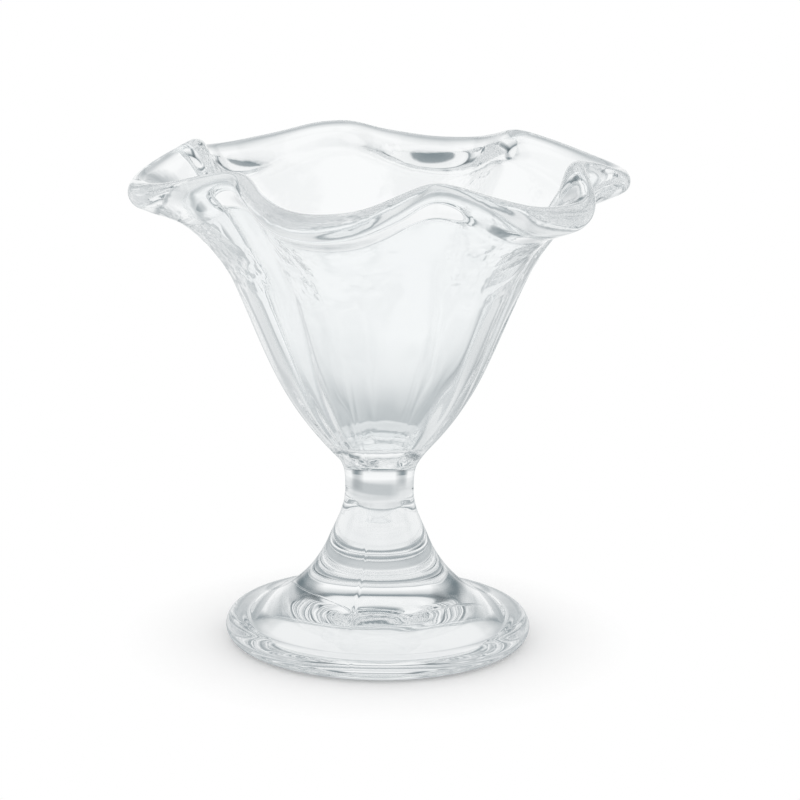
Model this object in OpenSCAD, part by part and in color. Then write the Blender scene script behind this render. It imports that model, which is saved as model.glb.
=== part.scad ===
// Stemmed dessert glass in clear pressed glass: a round foot, a waisted stem, a fluted bowl
// and a rolled rim that waves between raised crests and low lobes that flare outwards.
// The axis is Z, the foot stands on Z = 0 and one lobe lies on +X.

/* [Foot] */
// Diameter of the foot
foot_d = 74.2; // [62:0.2:90]
// Height of the foot up to its joint with the stem
foot_h = 24.7; // [18:0.1:32]
// Thickness of the rounded edge of the foot
foot_edge_t = 6.2; // [4:0.1:9]
// Rise of the foot's top face just inside its edge, in degrees
foot_edge_rise = 14; // [6:1:24]
// Width of the flat ring that the foot stands on
stand_w = 4; // [2:0.1:8]
// Depth of the domed hollow inside that ring, at its middle
hollow_depth = 7.8; // [3:0.1:10]

/* [Stem] */
// Height of the stem between its two joints
stem_h = 20.3; // [16:0.1:40]
// Diameter of the stem at its joint with the foot
stem_foot_d = 24.4; // [20:0.2:28]
// Diameter of the stem at its waist
stem_waist_d = 16.6; // [12:0.2:18]
// Height of the waist above the joint with the foot
stem_waist_h = 12.3; // [9:0.1:14]
// Diameter of the stem at its joint with the bowl
stem_top_d = 20; // [18.5:0.1:22]
// Lean of the stem's side where it runs into the foot, in degrees
stem_foot_lean = 22; // [14:1:32]
// Lean of the stem's side where it meets the bowl, in degrees
stem_top_lean = 38; // [20:1:50]

/* [Bowl] */
// Height of the bowl and rim from the stem to the top of the crests
bowl_h = 75; // [66:0.5:90]
// Diameter of the heel at the foot of the wall
heel_d = 26.2; // [24:0.2:32]
// Height of the rounded heel above the stem
heel_h = 3.6; // [3:0.1:5]
// Glass between the stem and the floor of the bowl
floor_t = 5; // [3.5:0.1:5.8]
// Thickness of the wall at its foot
base_wall_t = 3.6; // [3.2:0.1:5]
// Thickness of the wall under the rim
wall_t = 3.1; // [2.4:0.1:4]
// Lean of the wall at its foot, in degrees
base_lean = 42; // [34:1:48]
// Diameter of the middle of the wall at the shoulder, where the flare begins
shoulder_d = 64; // [56:0.5:70]
// Height of the shoulder above the stem
shoulder_h = 43.4; // [38:0.2:48]
// Lean of the wall at the shoulder, in degrees
shoulder_lean = 24; // [18:1:32]
// Depth of the flutes at the foot of the wall, either way from the mean
base_flute = 0.3; // [0:0.05:0.8]
// Depth of the flutes at the shoulder, either way from the mean
shoulder_flute = 1.8; // [0.4:0.1:2.4]

/* [Rim] */
// Lobes round the rim, with a crest between each pair
lobe_count = 6; // [4:1:8]
// Diameter of the middle of the lip, lobe to lobe
lobe_d = 115.2; // [106:0.2:130]
// Diameter of the middle of the lip, crest to crest
crest_d = 94; // [84:0.2:100]
// Drop of the lip from a crest to a lobe
lobe_dip = 6.1; // [3:0.1:9]
// Thickness of the rolled lip at a crest
crest_lip_t = 5.2; // [4.2:0.1:6.4]
// Thickness of the rolled lip at a lobe
lobe_lip_t = 6.6; // [5:0.1:7.6]
// Depth of the rim at a crest, from the middle of its lip down to its joint with the bowl
crest_lip_depth = 6.5; // [5:0.1:10]
// Depth of the rim at a lobe, from the middle of its lip down to its joint with the bowl
lobe_lip_depth = 12; // [8:0.1:14]
// Lean of the wall at the lip of a lobe, in degrees
lobe_lean = 64; // [50:1:72]
// Lean of the wall at the lip of a crest, in degrees
crest_lean = 29; // [18:1:38]

/* [Hidden] */
// How much broader than the crests the lobes are
lobe_breadth_share = 0.08;
// Reach of a curve's end tangents, as a share of the distance between its ends
reach_share = 0.36;
// The same for the lower wall of the bowl, which is fuller
base_reach_share = 0.41;
// Share of the lower wall over which it thins down to its even thickness
thin_share = 0.6;
// Reach of the rounded heel down the line of the wall, as a share of the heel's height
heel_reach_share = 0.8;

// Columns round one lobe, and rows along each stretch of a section
lobe_columns = 16;
columns = lobe_count * lobe_columns;
heel_rows = 3;
wall_rows = 7;
floor_rows = 4;
lip_rows = 5;
lip_arc_rows = 8;
turn_rows = 12;
dome_rows = 20;

$fn = 96;

foot_r = foot_d / 2;
foot_edge_r = foot_edge_t / 2;
hollow_r = foot_r - foot_edge_r - stand_w;
stem_foot_r = stem_foot_d / 2;
stem_waist_z = foot_h + stem_waist_h;
seat_r = stem_top_d / 2;
seat_z = foot_h + stem_h;
floor_z = seat_z + floor_t;
rim_top_z = seat_z + bowl_h;
glass_tint = [0.86, 0.92, 0.93, 0.45];

// Number at share s of the way from a to b
function mix(a, b, s) = a + (b - a) * s;

// Smooth step from 0 to 1 as s goes from 0 to 1
function ease(s) = let (k = min(1, max(0, s))) k * k * (3 - 2 * k);

// Unit direction that leans outwards from straight up, and the direction square to it on its outer side
function heading(lean) = [sin(lean), cos(lean)];
function outer_side(dir) = [dir[1], -dir[0]];

// Cubic curve from p to q that leaves and arrives with the given leans
function bend(p, q, lean_p, lean_q, share) =
    let (reach = share * norm(q - p))
    [p, p + reach * heading(lean_p), q - reach * heading(lean_q), q];
function bend_point(b, t) =
    let (u = 1 - t)
    u * u * u * b[0] + 3 * u * u * t * b[1] + 3 * u * t * t * b[2] + t * t * t * b[3];
function bend_heading(b, t) =
    let (u = 1 - t, d = u * u * (b[1] - b[0]) + 2 * u * t * (b[2] - b[1]) + t * t * (b[3] - b[2]))
    d / norm(d);
function bend_points(b, rows) = [for (i = [0:rows]) bend_point(b, i / rows)];

// Point beside a curve, a signed distance to its outer side
function beside(b, t, distance) = bend_point(b, t) + distance * outer_side(bend_heading(b, t));

// Corner rounded from p to q with a quadratic curve
function rounded(p, corner, q, t) =
    (1 - t) * (1 - t) * p + 2 * t * (1 - t) * corner + t * t * q;

// Where an angle round the axis lies between a crest, 0, and a lobe, 1
function lobe_at(angle) =
    let (wave = lobe_count * angle)
    (1 + cos(wave)) / 2 + lobe_breadth_share * sin(wave) * sin(wave);

// Middle of the wall at the foot, shoulder and lip, for a place s between crest and lobe
function swing(s) = 2 * s - 1;
function heel_point(s) = [heel_d / 2 + base_flute * swing(s), seat_z + heel_h];
function wall_foot(s) = heel_point(s) - base_wall_t / 2 * outer_side(heading(base_lean));
function shoulder(s) = [shoulder_d / 2 + shoulder_flute * swing(s), seat_z + shoulder_h];
function lip(s) = [mix(crest_d, lobe_d, s) / 2, rim_top_z - crest_lip_t / 2 - lobe_dip * s];

// The two stretches of the wall, below and above the shoulder
function low_wall(s) = bend(wall_foot(s), shoulder(s), base_lean, shoulder_lean, base_reach_share);
function high_wall(s) =
    bend(shoulder(s), lip(s), shoulder_lean, mix(crest_lean, lobe_lean, s), reach_share);

// Half the wall's thickness along each stretch, which swells from the rim's joint to the lip
function low_half(t) = mix(base_wall_t, wall_t, ease(t / thin_share)) / 2;
function neck(s) = 1 - mix(crest_lip_depth, lobe_lip_depth, s) / norm(lip(s) - shoulder(s));
function lip_half(s) = mix(crest_lip_t, lobe_lip_t, s) / 2;
function high_half(t, s) = mix(wall_t / 2, lip_half(s), ease((t - neck(s)) / (1 - neck(s))));

// One side of the wall, bottom to top: side is 1 outside and -1 inside
function wall_side(s, side) = concat(
    [for (i = [0:wall_rows - 1]) let (t = i / wall_rows) beside(low_wall(s), t, side * low_half(t))],
    [for (i = [0:wall_rows]) beside(high_wall(s), neck(s) * i / wall_rows, side * wall_t / 2)]);

// One side of the rim, from its joint with the bowl to the middle of the lip
function rim_side(s, side) =
    [for (i = [0:lip_rows])
        let (t = mix(neck(s), 1, i / lip_rows))
        beside(high_wall(s), t, side * high_half(t, s))];

function reversed(list) = [for (i = [len(list) - 1:-1:0]) list[i]];

// Section of the bowl between its two points on the axis: heel, outside, inside, floor
function bowl_section(s) =
    let (down = -heading(base_lean),
         outer_foot = heel_point(s),
         inner_foot = beside(low_wall(s), 0, -base_wall_t / 2),
         heel_corner = outer_foot + heel_reach_share * heel_h * down,
         floor_corner = inner_foot + (inner_foot[1] - floor_z) / cos(base_lean) * down)
    concat(
        [for (i = [0:heel_rows - 1]) rounded([seat_r, seat_z], heel_corner, outer_foot, i / heel_rows)],
        wall_side(s, 1),
        reversed(wall_side(s, -1)),
        [for (i = [1:floor_rows - 1]) rounded(inner_foot, floor_corner, [0, floor_z], i / floor_rows)]);

// Section of the rim: up the inside, over the round lip, down the outside
function rim_section(s) =
    let (dir = bend_heading(high_wall(s), 1), out = outer_side(dir))
    concat(
        rim_side(s, -1),
        [for (i = [1:lip_arc_rows - 1])
            let (turn = 180 * i / lip_arc_rows)
            lip(s) + lip_half(s) * (sin(turn) * dir - cos(turn) * out)],
        reversed(rim_side(s, 1)));

// Sections carried round the axis, listed column by column
function carried(sections) =
    [for (j = [0:columns - 1])
        let (angle = 360 * j / columns)
        for (p = sections[j]) [p[0] * cos(angle), p[0] * sin(angle), p[1]]];
function sections_round(rim) =
    [for (j = [0:columns - 1])
        let (s = lobe_at(360 * j / columns))
        rim ? rim_section(s) : bowl_section(s)];

// Two triangles between row i and row k, from column j to the next
function cell(i, k, j, rows) =
    let (n = (j + 1) % columns, a = j * rows + i, b = n * rows + i, c = n * rows + k, d = j * rows + k)
    [[a, c, b], [a, d, c]];
function flipped(face) = [face[0], face[2], face[1]];

// Height of the underside at a radius inside the hollow, a dome that falls off with the square of the radius
function underside_z(r) = hollow_depth * (1 - pow(r / hollow_r, 2));

module foot() {
    edge_x = foot_r - foot_edge_r;
    underside = [for (i = [0:dome_rows]) let (r = hollow_r * i / dome_rows) [r, underside_z(r)]];
    edge = [for (i = [0:turn_rows])
        let (turn = 180 * i / turn_rows - 90)
        [edge_x + foot_edge_r * cos(turn), foot_edge_r + foot_edge_r * sin(turn)]];
    top = bend_points(bend([edge_x, foot_edge_t], [stem_foot_r, foot_h],
                           foot_edge_rise - 90, -stem_foot_lean, reach_share), turn_rows);
    color(glass_tint)
        rotate_extrude()
            polygon(concat(underside, edge, [for (i = [1:turn_rows]) top[i]], [[0, foot_h]]));
}

module stem() {
    waist = [stem_waist_d / 2, stem_waist_z];
    flare = bend_points(bend([stem_foot_r, foot_h], waist, -stem_foot_lean, 0, reach_share), turn_rows);
    throat = bend_points(bend(waist, [seat_r, seat_z], 0, stem_top_lean, reach_share), turn_rows);
    color(glass_tint)
        rotate_extrude()
            polygon(concat([[0, foot_h]], flare, [for (i = [1:turn_rows]) throat[i]], [[0, seat_z]]));
}

module bowl() {
    sections = sections_round(false);
    rows = len(sections[0]);
    bottom = columns * rows;
    top = bottom + 1;
    walls = [for (j = [0:columns - 1]) for (i = [0:rows - 2]) each cell(i, i + 1, j, rows)];
    ends = [for (j = [0:columns - 1])
        let (n = (j + 1) % columns)
        each [[bottom, j * rows, n * rows], [top, n * rows + rows - 1, j * rows + rows - 1]]];
    color(glass_tint)
        polyhedron(concat(carried(sections), [[0, 0, seat_z], [0, 0, floor_z]]), concat(walls, ends));
}

module rim() {
    sections = sections_round(true);
    rows = len(sections[0]);
    walls = [for (j = [0:columns - 1]) for (i = [0:rows - 1]) each cell(i, (i + 1) % rows, j, rows)];
    color(glass_tint)
        polyhedron(carried(sections), [for (face = walls) flipped(face)]);
}

foot();
stem();
bowl();
rim();
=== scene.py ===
import bpy
import numpy as np
from mathutils import Matrix, Vector


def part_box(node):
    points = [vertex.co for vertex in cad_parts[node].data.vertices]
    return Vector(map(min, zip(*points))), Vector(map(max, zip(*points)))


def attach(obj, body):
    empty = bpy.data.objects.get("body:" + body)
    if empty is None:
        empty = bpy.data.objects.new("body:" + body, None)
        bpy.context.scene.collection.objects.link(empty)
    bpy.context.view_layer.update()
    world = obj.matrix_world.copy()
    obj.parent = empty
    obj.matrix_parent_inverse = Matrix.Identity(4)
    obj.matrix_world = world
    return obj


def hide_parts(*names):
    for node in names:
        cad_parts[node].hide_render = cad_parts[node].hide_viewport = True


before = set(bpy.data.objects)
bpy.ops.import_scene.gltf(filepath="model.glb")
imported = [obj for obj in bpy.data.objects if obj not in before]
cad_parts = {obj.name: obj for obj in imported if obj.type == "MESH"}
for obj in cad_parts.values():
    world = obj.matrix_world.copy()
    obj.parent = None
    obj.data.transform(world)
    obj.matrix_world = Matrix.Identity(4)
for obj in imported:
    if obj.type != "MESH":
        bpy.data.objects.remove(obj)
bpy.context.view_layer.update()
print("frame loaded:", ", ".join(sorted(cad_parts)))

mm = 0.001
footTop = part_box("foot")[1][2]      # joint of foot and stem
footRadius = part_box("foot")[1][0]
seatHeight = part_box("bowl")[0][2]   # joint of stem and bowl
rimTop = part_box("rim")[1][2]        # top of the crests
columns = 360                       # round every piece
around = np.linspace(0, 2 * np.pi, columns, endpoint=False)


# Shader sockets that take part in plain arithmetic
class Wire:
    def __init__(self, tree, socket=None):
        self.tree = tree
        self.socket = socket

    # any node: its settings first, then the values or links of its sockets
    def add(self, kind, settings=None, sockets=None, out=0):
        node = self.tree.nodes.new(kind)
        for name, value in (settings or {}).items():
            if name == "stops":
                ramp = node.color_ramp.elements
                while len(ramp) < len(value):
                    ramp.new(1.0)
                for stop, (place, tone) in zip(ramp, value):
                    stop.position = place
                    stop.color = (*tone, 1.0) if np.ndim(tone) else (tone, tone, tone, 1.0)
            else:
                setattr(node, name, value)
        for name, value in (sockets or {}).items():
            if isinstance(value, Wire):
                self.tree.links.new(value.socket, node.inputs[name])
            else:
                node.inputs[name].default_value = value
        return Wire(self.tree, node.outputs[out])

    # another output of the same node
    def other(self, name):
        return Wire(self.tree, self.socket.node.outputs[name])

    def math(self, operation, *values):
        return self.add("ShaderNodeMath", {"operation": operation}, dict(enumerate(values)))

    def __add__(self, other):
        return self.math("ADD", self, other)

    def __sub__(self, other):
        return self.math("SUBTRACT", self, other)

    def __rsub__(self, other):
        return self.math("SUBTRACT", other, self)

    def __mul__(self, other):
        return self.math("MULTIPLY", self, other)

    __radd__ = __add__
    __rmul__ = __mul__

    def ramp(self, *stops):
        return self.add("ShaderNodeValToRGB", {"stops": stops}, {"Fac": self})

    def noise(self, scale, detail=1.0):
        return self.add("ShaderNodeTexNoise", {}, {"Vector": self, "Scale": scale, "Detail": detail})

    # by this share, the second colour mixed into the first or multiplied with it
    # a Mix node's colours are its sockets 6 and 7 and its output 2
    def blend(self, low, high, way="MIX"):
        ends = [c if isinstance(c, Wire) else (*c, 1.0) for c in (low, high)]
        settings = {"data_type": "RGBA", "blend_type": way}
        return self.add("ShaderNodeMix", settings, {0: self, 6: ends[0], 7: ends[1]}, out=2)


def blankTree(owner):
    owner.use_nodes = True
    owner.node_tree.nodes.clear()
    return Wire(owner.node_tree)


def plug(wire, kind):
    end = wire.tree.nodes.new(kind)
    wire.tree.links.new(wire.socket, end.inputs["Surface"])


# Clear pressed glass: a breath of cool tint, the faint ripple of a fire-polished skin, patches of chill marks
# where the attribute of that name is high, and scuffs on the ring that the foot stands on
glassLook = dict(
    ior=1.52, tint=(0.970, 0.981, 0.984), deepTint=(0.961, 0.975, 0.979), tintScale=45.0,
    rippleScale=90.0, rippleHeight=0.004 * mm, chillScale=380.0, chillHeight=0.40 * mm,
    chillStretch=(1.0, 1.0, 0.55), patchScale=90.0, patchEdges=(0.42, 0.58),
    scuffTop=0.06 * mm, scuffScale=1500.0, scuffDetail=3.0, scuff=0.04)


def glassFinish(name, look):
    material = bpy.data.materials.new(name)
    start = blankTree(material)
    place = start.add("ShaderNodeTexCoord", out="Object")
    height = start.add("ShaderNodeSeparateXYZ", {}, {"Vector": place}, out="Z")
    colour = place.noise(look["tintScale"]).blend(look["tint"], look["deepTint"])
    low, high = look["patchEdges"]
    chill = start.add("ShaderNodeAttribute", {"attribute_name": "chill"}, out="Fac")
    marks = chill * place.noise(look["patchScale"]).ramp((low, 0.0), (high, 1.0))
    drawn = start.add("ShaderNodeVectorMath", {"operation": "MULTIPLY"}, {0: place, 1: look["chillStretch"]})
    marks = marks * drawn.noise(look["chillScale"]) * look["chillHeight"]
    ripple = place.noise(look["rippleScale"]) * look["rippleHeight"]
    bump = start.add("ShaderNodeBump", {}, {"Height": ripple + marks, "Strength": 1.0, "Distance": 1.0})
    ring = height.ramp((0.0, 1.0), (look["scuffTop"], 0.0))
    rubbed = ring * place.noise(look["scuffScale"], look["scuffDetail"])
    glass = start.add("ShaderNodeBsdfPrincipled", {}, {
        "Base Color": colour, "Roughness": rubbed * look["scuff"], "IOR": look["ior"],
        "Transmission Weight": 1.0, "Normal": bump})
    plug(glass, "ShaderNodeOutputMaterial")
    return material


# Where two pieces are fused, the glass runs on and nothing shows
def unseenFinish(name):
    material = bpy.data.materials.new(name)
    start = blankTree(material)
    clear = start.add("ShaderNodeBsdfTransparent", {}, {"Color": (1.0, 1.0, 1.0, 1.0)})
    plug(clear, "ShaderNodeOutputMaterial")
    return material


clearGlass = glassFinish("clearGlass", glassLook)
fusedJoint = unseenFinish("fusedJoint")
print("finishes ready")


# Directions in the plane of radius and height, leaning out from upright by so many degrees
def heading(lean):
    lean = np.radians(lean)
    return np.stack([np.sin(lean), np.cos(lean)], -1)


# The direction square to a way up the section, to its outer side
def outerSide(way):
    return np.stack([way[..., 1], -way[..., 0]], -1)


# Cubic from p to q whose end handles lean as asked and reach a share of the chord: its points and directions
def bend(p, q, leanP, leanQ, share, t):
    reach = share * np.linalg.norm(q - p, axis=-1, keepdims=True)
    a = p + reach * heading(leanP)
    b = q - reach * heading(leanQ)
    u = 1 - t
    point = u**3 * p + 3 * u * u * t * a + 3 * u * t * t * b + t**3 * q
    way = u * u * (a - p) + 2 * u * t * (b - a) + t * t * (q - b)
    return point, way / np.linalg.norm(way, axis=-1, keepdims=True)


# Quadratic from p to q that rounds off a corner
def rounded(p, corner, q, t):
    return (1 - t) ** 2 * p + 2 * t * (1 - t) * corner + t * t * q


# Smooth step from 0 to 1
def ease(s):
    k = np.clip(s, 0, 1)
    return k * k * (3 - 2 * k)


def mix(a, b, s):
    return a + (b - a) * s


# Shares from 0 to 1 down the first axis, with or without their ends, with room for columns and coordinates
def steps(count, first=True, last=True):
    start = 0 if first else 1
    stop = count + 1 if last else count
    return np.linspace(0, 1, count + 1)[start:stop, None, None]


# Slow waves left by pressing: a sum of sines over the angle and the share of the way along the section
def pressedWaves(along, look):
    rng = np.random.default_rng(look["seed"])
    turns = rng.integers(*look["turns"], look["waves"])
    pitch = rng.uniform(*look["pitch"], look["waves"])
    phase = rng.uniform(0, 2 * np.pi, look["waves"])
    waves = np.sin(turns * around[None, :, None] + pitch * along[:, None, None] + phase)
    return look["size"] * waves.sum(-1) / np.sqrt(look["waves"])


# Mould seams: fine raised lines up the outside, bell-shaped across
seamShape = dict(count=3, height=0.11 * mm, width=0.3 * mm, clear=1.5 * mm)


def seamLines(radius, seam):
    gap = 2 * np.pi / seam["count"]
    off = (around + gap / 2) % gap - gap / 2
    return seam["height"] * np.exp(-(off * radius / seam["width"]) ** 2)


# Sections in radius and height carried round the axis
def carried(section):
    radius = section[..., 0]
    return np.stack([radius * np.cos(around), radius * np.sin(around), section[..., 1]], -1)


# Outward normals: the steps across the grid crossed with the steps along it
def normalsOf(grid):
    along = np.gradient(grid, axis=0)
    across = np.roll(grid, -1, axis=1) - np.roll(grid, 1, axis=1)
    normal = np.cross(across, along)
    return normal / np.linalg.norm(normal, axis=-1, keepdims=True)


# Closed skin over rows of points. With poles, the first and last row close on the axis, else they join up.
# Rows named as hidden take the finish of a fused joint: -1 is the lower pole's fan, and the count of rows is
# the upper pole's.
def skin(name, grid, normals, hidden, node, poles=None, chill=None):
    rows = len(grid)
    i = np.arange(rows if poles is None else rows - 1)[:, None]
    j = np.arange(columns)[None, :]
    nextRow = (i + 1) % rows
    nextColumn = (j + 1) % columns
    corners = [i * columns + j, i * columns + nextColumn,
               nextRow * columns + nextColumn, nextRow * columns + j]
    faces = np.stack(corners, -1).reshape(-1, 4).tolist()
    unseen = np.repeat(np.isin(i[:, 0], hidden), columns)
    points = grid.reshape(-1, 3)
    pointing = normals.reshape(-1, 3)
    if poles is not None:
        low = len(points)
        high = low + 1
        here, after = j[0], nextColumn[0]
        last = (rows - 1) * columns
        faces += np.stack([np.full(columns, low), after, here], -1).tolist()
        faces += np.stack([np.full(columns, high), last + here, last + after], -1).tolist()
        unseen = np.concatenate([unseen, np.full(columns, -1 in hidden), np.full(columns, rows in hidden)])
        points = np.concatenate([points, [(0, 0, z) for z in poles]])
        pointing = np.concatenate([pointing, [(0, 0, -1), (0, 0, 1)]])
    mesh = bpy.data.meshes.new(name)
    mesh.from_pydata(points.tolist(), [], faces)
    mesh.materials.append(clearGlass)
    mesh.materials.append(fusedJoint)
    mesh.polygons.foreach_set("material_index", unseen.astype(np.int32))
    mesh.polygons.foreach_set("use_smooth", np.ones(len(faces), bool))
    mesh.normals_split_custom_set_from_vertices(pointing.tolist())
    if chill is not None:
        marks = np.zeros(len(points), np.float32)
        marks[:chill.size] = chill.ravel()
        mesh.attributes.new("chill", "FLOAT", "POINT").data.foreach_set("value", marks)
    mesh.update()
    piece = bpy.data.objects.new(name, mesh)
    bpy.context.collection.objects.link(piece)
    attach(piece, "root")
    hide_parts(node)
    print("made", name, len(faces), "faces")


# Leans are degrees from upright, reaches are shares of a chord, rows are steps along a stretch of the section
bowlShape = dict(
    heelRadius=13.1 * mm, heelHeight=3.6 * mm, heelReach=0.8, floorThickness=5 * mm,
    baseWall=3.6 * mm, wall=3.1 * mm, thinning=0.6, baseLean=42, baseReach=0.41, baseFlute=0.3 * mm,
    shoulderRadius=32 * mm, shoulderHeight=43.4 * mm, shoulderLean=24, shoulderFlute=1.8 * mm, reach=0.36,
    chillFoot=38 * mm, chillRise=12 * mm, chillFlank=0.55, chillMiddle=0.45,
    rows=dict(heel=14, low=52, high=34, floor=24),
    waves=dict(seed=7, waves=18, turns=(6, 30), pitch=(-40, 40), size=0.045 * mm))
rimShape = dict(
    lobes=6, lobeRadius=57.6 * mm, crestRadius=47 * mm, dip=6.1 * mm, lobeLip=6.6 * mm, crestLip=5.2 * mm,
    lobeDepth=12 * mm, crestDepth=6.5 * mm, lobeLean=64, crestLean=29, breadth=0.08, chillShare=0.18,
    rows=dict(side=14, lip=32))


# Bowl and rim are one wall, worked out together so that their surfaces run on into each other: a middle line
# of two cubics from the heel over the shoulder to the lip, thickened to both sides, with a half-round lip
def makeBowlAndRim(bowl, rim, seatRadius):
    # 1 in the middle of a lobe and 0 at a crest: a cosine, with its slopes pushed out to broaden the lobes
    wave = rim["lobes"] * around
    lobe = (1 + np.cos(wave)) / 2 + rim["breadth"] * np.sin(wave) ** 2
    swing = 2 * lobe - 1
    flat = np.zeros(columns)
    base = heading(bowl["baseLean"])
    baseLean = flat + bowl["baseLean"]
    shoulderLean = flat + bowl["shoulderLean"]
    lipLean = mix(rim["crestLean"], rim["lobeLean"], lobe)
    heel = np.stack([bowl["heelRadius"] + bowl["baseFlute"] * swing,
                     flat + seatHeight + bowl["heelHeight"]], -1)
    wallFoot = heel - bowl["baseWall"] / 2 * outerSide(base)
    shoulder = np.stack([bowl["shoulderRadius"] + bowl["shoulderFlute"] * swing,
                         flat + seatHeight + bowl["shoulderHeight"]], -1)
    lip = np.stack([mix(rim["crestRadius"], rim["lobeRadius"], lobe),
                    rimTop - rim["crestLip"] / 2 - rim["dip"] * lobe], -1)
    lipThick = mix(rim["crestLip"], rim["lobeLip"], lobe)[None, :, None]
    lipDepth = mix(rim["crestDepth"], rim["lobeDepth"], lobe)
    # the share of the upper cubic at which the wall starts to thicken, where the rim begins
    neck = (1 - lipDepth / np.linalg.norm(lip - shoulder, axis=-1))[None, :, None]

    def lowWall(t, side):
        point, way = bend(wallFoot, shoulder, baseLean, shoulderLean, bowl["baseReach"], t)
        thick = mix(bowl["baseWall"], bowl["wall"], ease(t / bowl["thinning"]))
        return point + side * thick / 2 * outerSide(way)

    def highWall(t, side):
        point, way = bend(shoulder, lip, shoulderLean, lipLean, bowl["reach"], t)
        thick = mix(bowl["wall"], lipThick, ease((t - neck) / (1 - neck)))
        return point + side * thick / 2 * outerSide(way)

    seat = np.stack([flat + seatRadius, flat + seatHeight], -1)
    heelCorner = heel - bowl["heelReach"] * bowl["heelHeight"] * base
    innerFoot = wallFoot - bowl["baseWall"] / 2 * outerSide(base)
    floorHeight = seatHeight + bowl["floorThickness"]
    floorCorner = innerFoot - ((innerFoot[:, 1] - floorHeight) / base[1])[:, None] * base
    floorMiddle = np.stack([flat, flat + floorHeight], -1)
    rows = bowl["rows"]
    outside = [rounded(seat, heelCorner, heel, steps(rows["heel"], last=False)),
               lowWall(steps(rows["low"], last=False), 1),
               highWall(steps(rows["high"]) * neck, 1)]
    inside = [highWall((1 - steps(rows["high"])) * neck, -1),
              lowWall(1 - steps(rows["low"], first=False), -1),
              rounded(innerFoot, floorCorner, floorMiddle, steps(rows["floor"], first=False, last=False))]
    rows = rim["rows"]
    rimOut = highWall(neck + (1 - neck) * steps(rows["side"], first=False), 1)
    rimIn = highWall(1 - (1 - neck) * steps(rows["side"], last=False), -1)
    # half-round lip about the end of the middle line
    lipPoint, lipWay = bend(shoulder, lip, shoulderLean, lipLean, bowl["reach"], steps(1, first=False))
    turn = np.pi * steps(rows["lip"], first=False, last=False)
    lipArc = lipPoint + lipThick / 2 * (np.sin(turn) * lipWay + np.cos(turn) * outerSide(lipWay))

    section = np.concatenate(outside + [rimOut, lipArc, rimIn] + inside)
    below = sum(len(stretch) for stretch in outside)
    rimRows = len(rimOut) + len(lipArc) + len(rimIn)
    # waves and seams, which die away at the stem and at the middle of the floor
    radius, rise = section[..., 0], section[..., 1] - seatHeight
    free = ease(rise / bowl["heelHeight"]) * ease(radius / bowl["heelRadius"])
    seams = seamLines(radius, seamShape) * ease(rise / seamShape["clear"])
    seams = seams * ease(1 - rise / bowl["shoulderHeight"])
    seams[below:] = 0
    relief = free * pressedWaves(np.linspace(0, 1, len(section)), bowl["waves"]) + seams
    whole = carried(section)
    whole = whole + relief[..., None] * normalsOf(whole)
    normals = normalsOf(whole)
    # chill marks sit under and on the lip, most on the lobes' flanks and less in their middles
    flank = ease(lobe / bowl["chillFlank"])
    middle = ease((lobe - bowl["chillFlank"]) / (1 - bowl["chillFlank"]))
    upper = ease((rise - bowl["chillFoot"]) / bowl["chillRise"])
    chill = flank * mix(1, bowl["chillMiddle"], middle) * upper
    bowlPick = np.r_[0:below, below + rimRows:len(whole)]
    rimPick = np.r_[below - 1:below + rimRows + 1]
    skin("bowl_glass", whole[bowlPick], normals[bowlPick], [-1, below - 1], "bowl",
         poles=(seatHeight, floorHeight), chill=chill[bowlPick])
    skin("rim_glass", whole[rimPick], normals[rimPick], [len(rimPick) - 1], "rim",
         chill=chill[rimPick] * rim["chillShare"])


stemShape = dict(
    footRadius=12.2 * mm, waistRadius=8.3 * mm, waistHeight=12.3 * mm, topRadius=10 * mm,
    footLean=22, topLean=38, reach=0.36, rows=dict(flare=60, throat=50),
    waves=dict(seed=3, waves=12, turns=(0, 4), pitch=(15, 75), size=0.02 * mm))


# Stem: two cubics turned round the axis, one from the foot's joint in to the waist and one out to the bowl,
# with faint rings
def makeStem(stem):
    rows = stem["rows"]
    waist = np.array([stem["waistRadius"], footTop + stem["waistHeight"]])
    low = np.array([stem["footRadius"], footTop])
    top = np.array([stem["topRadius"], seatHeight])
    flare = bend(low, waist, -stem["footLean"], 0, stem["reach"], steps(rows["flare"])[:, 0])[0]
    throat = bend(waist, top, 0, stem["topLean"], stem["reach"], steps(rows["throat"], first=False)[:, 0])[0]
    section = np.repeat(np.concatenate([flare, throat])[:, None, :], columns, axis=1)
    fromFoot, fromBowl = section[..., 1] - footTop, seatHeight - section[..., 1]
    waves = pressedWaves(np.linspace(0, 1, len(section)), stem["waves"])
    free = ease(fromFoot / stem["footRadius"]) * ease(fromBowl / stem["footRadius"])
    seams = seamLines(section[..., 0], seamShape) * ease(fromBowl / seamShape["clear"])
    whole = carried(section)
    whole = whole + (free * waves + seams)[..., None] * normalsOf(whole)
    skin("stem_glass", whole, normalsOf(whole), [-1, len(whole)], "stem", poles=(footTop, seatHeight))


footShape = dict(
    edge=6.2 * mm, edgeRise=14, standWidth=4 * mm, hollowDepth=7.8 * mm, standEdge=0.3 * mm,
    seamReach=18 * mm, rows=dict(hollow=90, edge=36, top=80),
    waves=dict(seed=5, waves=14, turns=(0, 7), pitch=(10, 60), size=0.02 * mm))


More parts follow.
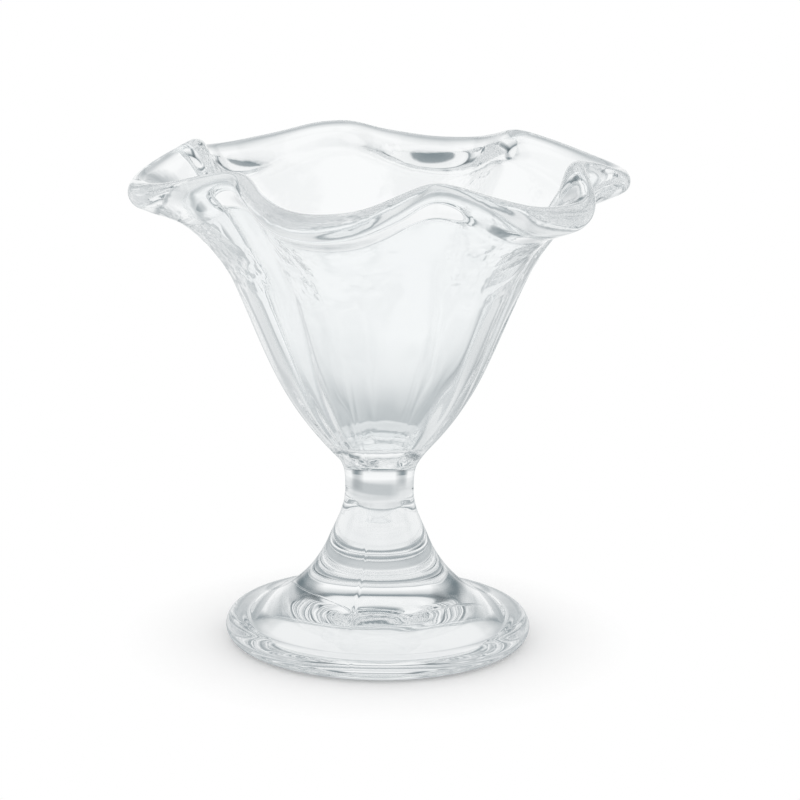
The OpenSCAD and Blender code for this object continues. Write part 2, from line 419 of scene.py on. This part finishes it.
# Foot: a domed hollow inside a flat standing ring, a half-round edge, and a cubic that sweeps up to the stem.
# The dome falls off with the square of the radius and eases into the ring as a hyperbola does.
def makeFoot(foot, stem):
    rows = foot["rows"]
    half = foot["edge"] / 2
    edgeX = footRadius - half
    hollowRadius = edgeX - foot["standWidth"]
    reach = edgeX * steps(rows["hollow"], first=False, last=False)[:, 0, 0]
    within = reach / hollowRadius
    dome = foot["hollowDepth"] * (1 - within ** 2)
    hollow = np.stack([reach, (dome + np.hypot(dome, foot["standEdge"])) / 2], -1)
    turn = np.pi * steps(rows["edge"])[:, 0, 0] - np.pi / 2
    edge = np.stack([edgeX + half * np.cos(turn), half + half * np.sin(turn)], -1)
    edgeTop = np.array([edgeX, foot["edge"]])
    joint = np.array([stem["footRadius"], footTop])
    top = bend(edgeTop, joint, foot["edgeRise"] - 90, -stem["footLean"], stem["reach"],
               steps(rows["top"], first=False)[:, 0])[0]
    section = np.repeat(np.concatenate([hollow, edge, top])[:, None, :], columns, axis=1)
    radius, row = section[..., 0], np.arange(len(section))[:, None]
    seams = seamLines(radius, seamShape) * ease((edgeX - radius) / foot["seamReach"])
    relief = np.where(row >= len(hollow) + len(edge), seams, 0)
    # the hollow's waves die away at its middle and over its outer half
    waves = pressedWaves(np.linspace(0, 1, len(hollow)), foot["waves"])
    relief[:len(hollow)] = waves * ease(within)[:, None] * ease(2 - 2 * within)[:, None]
    whole = carried(section)
    whole = whole + relief[..., None] * normalsOf(whole)
    skin("foot_glass", whole, normalsOf(whole), [len(whole)], "foot", poles=(foot["hollowDepth"], footTop))


makeBowlAndRim(bowlShape, rimShape, stemShape["topRadius"])
makeStem(stemShape)
makeFoot(footShape, stemShape)


# Floor, world and lamp. Camera rays see white, and so does the floor. Glass and gloss see a studio whose
# tones change with height and distance, grey flags between its panels, which draw the edges, and a painted
# shadow on the floor round the foot
studioLook = dict(
    floorSize=6.0, floorDrop=0.3 * mm, floorColour=(0.97, 0.97, 0.97), floorFade=(0.03, 0.062),
    # tones by metres from the axis: a painted shadow of the glass, grey close by with a dark ring of painted
    # contact shadow round the foot, then darker behind it than beside it
    paintedShadowTones=((0.0, 0.92), (0.028, 0.88), (0.033, 0.43), (0.039, 0.38), (0.046, 0.80), (0.07, 0.84)),
    backTones=((0.10, 0.56), (0.16, 0.56), (0.22, 0.82), (0.26, 0.90), (0.34, 0.99)),
    sideTones=((0.12, 0.74), (0.20, 0.86), (0.34, 0.99)),
    backHeading=64.0, backEdges=(0.78, 0.92),
    # tones by the height of a unit direction
    skyTones=((0.0, 0.99), (0.16, 0.97), (0.22, 0.88), (0.31, 0.76), (0.38, 0.62), (0.44, 0.32), (0.49, 0.28),
              (0.53, 0.84), (0.63, 0.96), (0.82, 0.92), (0.87, 0.36), (1.0, 0.26)),
    # red, green and blue gained by a tone as it darkens
    coolness=(-0.06, 0.0, 0.03),
    # flags: how many, the heading of the first, and where they start and end in distance and height
    flags=6, firstFlag=45.4, flagEdges=(0.30, 1.0), skyFlagTone=0.26, floorFlagTone=0.60,
    skyFlags=(0.44, 0.54), floorFlags=(0.10, 0.20))
white = (1.0, 1.0, 1.0)


# A grey that is cooler the darker it is
def cool(tone, look):
    return tuple(tone + shift * (1 - tone) for shift in look["coolness"])


def coolStops(tones, look):
    return [(place, cool(tone, look)) for place, tone in tones]


# Share of cards in a direction or place: cards evenly spaced round the axis, soft at both edges, which are
# given as the cosine of the turn from a card's middle times their count
def cardShare(vector, first, count, edges):
    x = vector.add("ShaderNodeSeparateXYZ", {}, {"Vector": vector})
    turn = x.math("ARCTAN2", x.other("Y"), x) - np.radians(first)
    low, high = edges
    return turn.math("COSINE", turn * count).ramp((low, 0.0), (high, 1.0))


def flagShare(vector, look):
    return cardShare(vector, look["firstFlag"], look["flags"], look["flagEdges"])


# Rays that come through the glass or off its gloss
def glassRays(start):
    path = start.add("ShaderNodeLightPath")
    return path.math("MAXIMUM", path.other("Is Glossy Ray"), path.other("Is Transmission Ray"))


def makeFloor(look):
    size, drop = look["floorSize"], -look["floorDrop"]
    mesh = bpy.data.meshes.new("floor")
    mesh.from_pydata([(-size, -size, drop), (size, -size, drop), (size, size, drop), (-size, size, drop)], [],
                     [(0, 1, 2, 3)])
    floor = bpy.data.objects.new("floor", mesh)
    bpy.context.collection.objects.link(floor)
    material = bpy.data.materials.new("paleFloor")
    start = blankTree(material)
    place = start.add("ShaderNodeTexCoord", out="Object")
    far = start.add("ShaderNodeVectorMath", {"operation": "LENGTH"}, {0: place}, out="Value")
    # the camera sees a matt floor that keeps the shadow and fades to white
    near, away = look["floorFade"]
    matt = start.add("ShaderNodeBsdfDiffuse", {}, {"Color": (*look["floorColour"], 1.0)})
    glow = start.add("ShaderNodeEmission", {}, {"Color": (*white, 1.0), "Strength": 1.0})
    fade = far.ramp((near, 0.0), (away, 1.0))
    seenFloor = start.add("ShaderNodeMixShader", {}, {0: fade, 1: matt, 2: glow})
    # glass and gloss see the sweep, glowing, with a painted shadow that makes it darker close by, and darker
    # behind and between the panels
    near, away = look["floorFlags"]
    share = flagShare(place, look) * far.ramp((near, 0.0), (away, 1.0))
    beside = far.ramp(*coolStops(look["paintedShadowTones"] + look["sideTones"], look))
    behind = far.ramp(*coolStops(look["paintedShadowTones"] + look["backTones"], look))
    tones = cardShare(place, look["backHeading"], 1, look["backEdges"]).blend(beside, behind)
    tone = share.blend(tones, cool(look["floorFlagTone"], look), "MULTIPLY")
    # painted shadow: this emission is darker round the foot and close to the axis, standing in for the
    # glass's shadow on the floor
    paintedShadowSweep = start.add("ShaderNodeEmission", {}, {"Color": tone, "Strength": 1.0})
    both = start.add("ShaderNodeMixShader", {}, {0: glassRays(start), 1: seenFloor, 2: paintedShadowSweep})
    plug(both, "ShaderNodeOutputMaterial")
    mesh.materials.append(material)


def makeWorld(look):
    world = bpy.data.worlds.new("studio")
    bpy.context.scene.world = world
    start = blankTree(world)
    ray = start.add("ShaderNodeTexCoord", out="Generated")
    rise = start.add("ShaderNodeSeparateXYZ", {}, {"Vector": ray}, out="Z")
    low, high = look["skyFlags"]
    share = flagShare(ray, look) * rise.ramp((low, 1.0), (high, 0.0))
    tones = rise.ramp(*coolStops(look["skyTones"], look))
    tone = share.blend(tones, cool(look["skyFlagTone"], look), "MULTIPLY")
    seen = glassRays(start).blend(white, tone)
    sky = start.add("ShaderNodeBackground", {}, {"Color": seen, "Strength": 1.0})
    plug(sky, "ShaderNodeOutputWorld")


keyLamp = dict(place=(-0.3, -0.4, 1.4), aim=(0, 0, 0.05), size=1.2, power=1.0)


def makeLamp(name, lamp):
    light = bpy.data.lights.new(name, "AREA")
    light.size = lamp["size"]
    light.energy = lamp["power"]
    shine = bpy.data.objects.new(name, light)
    shine.location = lamp["place"]
    shine.rotation_mode = "QUATERNION"
    shine.rotation_quaternion = (Vector(lamp["aim"]) - Vector(lamp["place"])).to_track_quat("-Z", "Y")
    shine.visible_glossy = False
    shine.visible_transmission = False
    bpy.context.collection.objects.link(shine)


makeFloor(studioLook)
makeWorld(studioLook)
makeLamp("key", keyLamp)
print("studio lit")


# Camera at the photograph's angle, given by the pixel where the axis crosses the aim height
viewShape = dict(azimuth=-14.6, elevation=14.0, roll=0.68, distance=747 * mm, aimHeight=57.83 * mm,
                 focalPixels=3100.0, axisPixel=(380.4, 405.4), framePixels=800.0, clipStart=10 * mm)


def unit(v):
    return v / np.linalg.norm(v)


def makeCamera(view):
    a, e, roll = (np.radians(view[k]) for k in ("azimuth", "elevation", "roll"))
    back = np.array([np.sin(a) * np.cos(e), -np.cos(a) * np.cos(e), np.sin(e)])
    right = np.array([np.cos(a), np.sin(a), 0.0])
    place = np.array([0, 0, view["aimHeight"]]) + view["distance"] * back
    # roll the view, then turn it so that the axis point lands on its pixel
    right = np.cos(roll) * right + np.sin(roll) * np.cross(back, right)
    up = np.cross(back, right)
    middle = view["framePixels"] / 2
    offX = (middle - view["axisPixel"][0]) / view["focalPixels"]
    offY = (view["axisPixel"][1] - middle) / view["focalPixels"]
    back = unit(back - offX * right - offY * up)
    right = unit(right - back * (right @ back))
    data = bpy.data.cameras.new("camera")
    data.lens = view["focalPixels"] * data.sensor_width / view["framePixels"]
    data.clip_start = view["clipStart"]
    camera = bpy.data.objects.new("camera", data)
    turn = np.eye(4)
    turn[:3] = np.stack([right, np.cross(back, right), back, place], -1)
    camera.matrix_world = Matrix(turn.tolist())
    bpy.context.collection.objects.link(camera)
    bpy.context.scene.camera = camera


makeCamera(viewShape)
print("camera set")

bounces = 200   # light runs far inside glass
scene = bpy.context.scene
scene.view_settings.view_transform = "Standard"
for kind in ("max_bounces", "transmission_bounces", "glossy_bounces", "transparent_max_bounces"):
    setattr(scene.cycles, kind, bounces)
